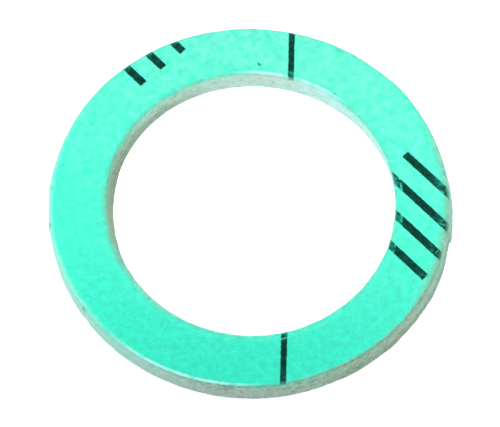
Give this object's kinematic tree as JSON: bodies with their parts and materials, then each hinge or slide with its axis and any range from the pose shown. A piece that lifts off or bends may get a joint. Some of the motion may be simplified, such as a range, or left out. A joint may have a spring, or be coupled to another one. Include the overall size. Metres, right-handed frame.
{
  "type": "oil filter gasket",
  "caption": "Flat die-cut ring of green-faced compressed fibre sheet that seals the joint of an oil filter.",
  "frame": {"origin": "centre of the bore on the back face, which the ring lies on", "axes": "+Z along the ring's axis, up to the printed face; +X to the right of the picture's view"},
  "size_m": [0.03, 0.03, 0.002],
  "materials": {
    "fibre_sheet": "matt rubber-bonded compressed fibre, green faced"
  },
  "bodies": {
    "root": {"gasket_ring": "fibre_sheet"}
  },
  "joints": []
}
